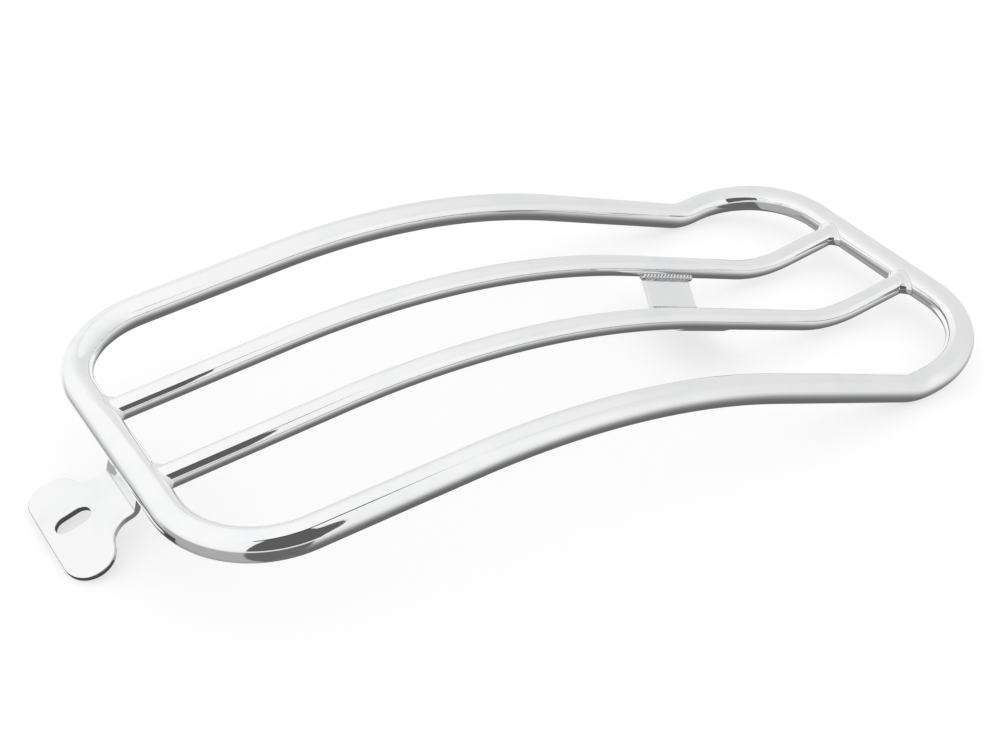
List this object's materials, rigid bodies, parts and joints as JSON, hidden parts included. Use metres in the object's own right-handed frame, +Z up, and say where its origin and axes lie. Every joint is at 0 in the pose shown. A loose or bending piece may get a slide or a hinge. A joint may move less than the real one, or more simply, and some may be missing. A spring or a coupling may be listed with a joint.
{
  "type": "motorcycle luggage rack",
  "caption": "Bent round-tube hoop with two inner rods, a folded cross strap and a slotted front tab, welded together and chrome plated.",
  "frame": {"origin": "middle of the bounding box, on the flat floor the rack rests on", "axes": "+X toward the rack's rear, +Y toward its right side, +Z up"},
  "size_m": [0.4244, 0.1818, 0.0546],
  "materials": {
    "chrome_tube": "bright chrome plating on polished tube and rod",
    "chrome_plate": "bright chrome plating on pressed plate, a little less smooth than the tube",
    "chrome_weld": "chrome plating over rippled weld bead"
  },
  "bodies": {
    "root": {"outer_hoop": "chrome_tube", "left_bar": "chrome_tube", "right_bar": "chrome_tube", "cross_strap": "chrome_plate", "mounting_tab": "chrome_plate", "front_left_weld": "chrome_weld", "front_right_weld": "chrome_weld", "rear_left_weld": "chrome_weld", "rear_right_weld": "chrome_weld", "strap_left_weld": "chrome_weld", "strap_right_weld": "chrome_weld", "tab_front_weld": "chrome_weld", "tab_rear_weld": "chrome_weld"}
  },
  "joints": []
}
